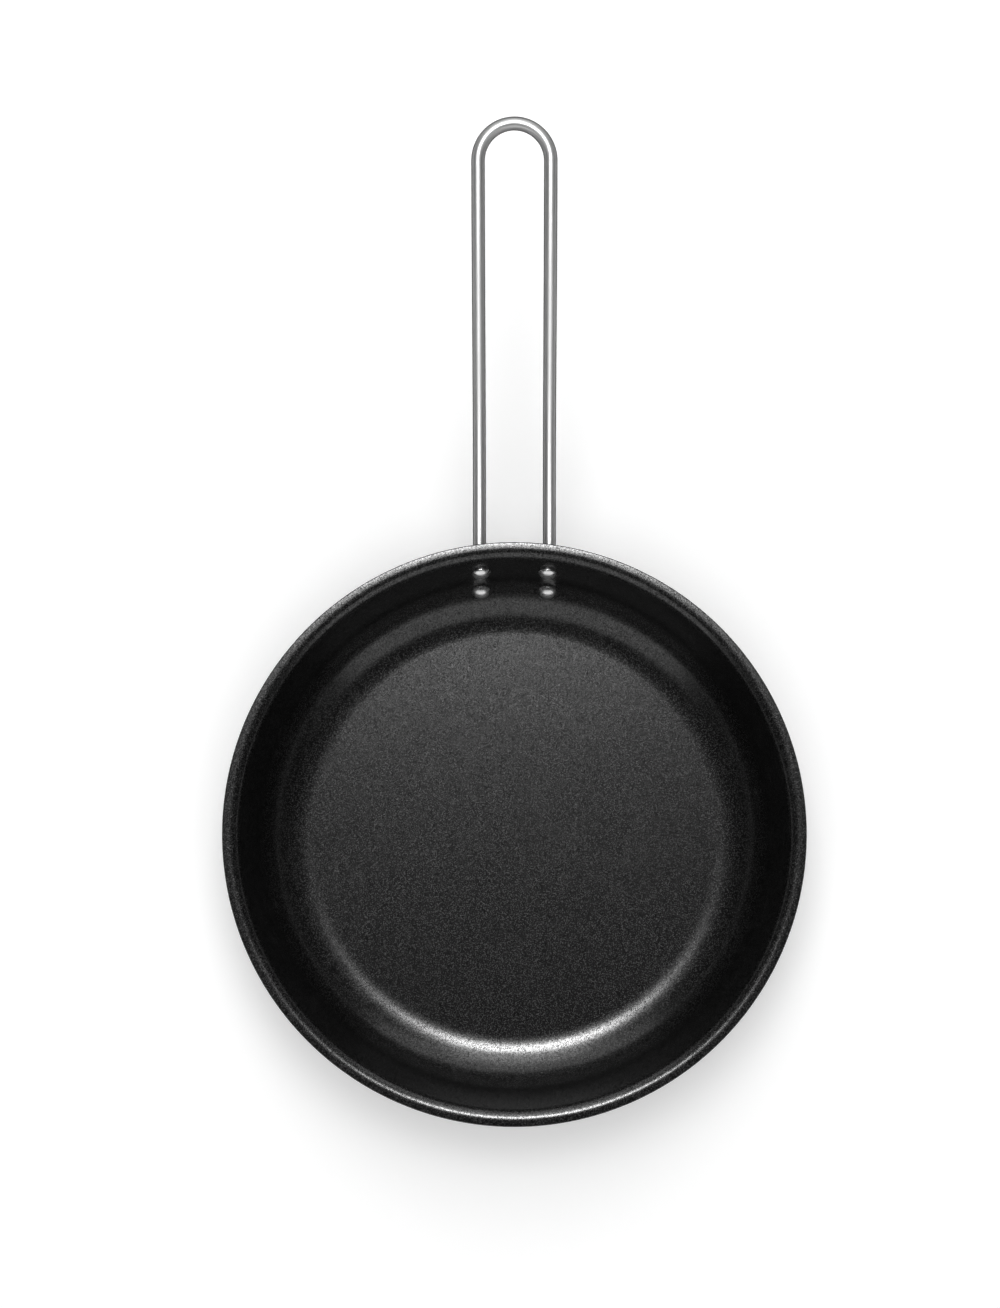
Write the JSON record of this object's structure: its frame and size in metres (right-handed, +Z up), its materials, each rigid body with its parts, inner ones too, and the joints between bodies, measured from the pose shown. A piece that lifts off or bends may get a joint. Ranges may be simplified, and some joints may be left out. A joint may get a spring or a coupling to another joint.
{
  "type": "frying pan",
  "caption": "Round low-sided frying pan with a flared lip, non-stick lining, perforated steel base disc and a riveted bent-wire loop handle.",
  "frame": {"origin": "centre of the underside, where the pan rests on a hob", "axes": "+Y along the handle, away from the bowl; +Z up; +X to the right when the handle points away"},
  "size_m": [0.25, 0.42, 0.0938],
  "materials": {
    "aluminium": "turned, bare on the foot ring",
    "nonstick": "black fluoropolymer coating with fine metallic speckle, satin",
    "outer_enamel": "black high-temperature coating, fine texture",
    "base_steel": "turned, perforated",
    "handle_steel": "polished wire with fine drawn lines",
    "rivet_steel": "polished"
  },
  "bodies": {
    "root": {"pan_body": "aluminium", "nonstick_lining": "nonstick", "outer_coating": "outer_enamel", "base_disc": "base_steel", "handle": "handle_steel", "rivet_upper_left": "rivet_steel", "rivet_upper_right": "rivet_steel", "rivet_lower_left": "rivet_steel", "rivet_lower_right": "rivet_steel"}
  },
  "joints": []
}
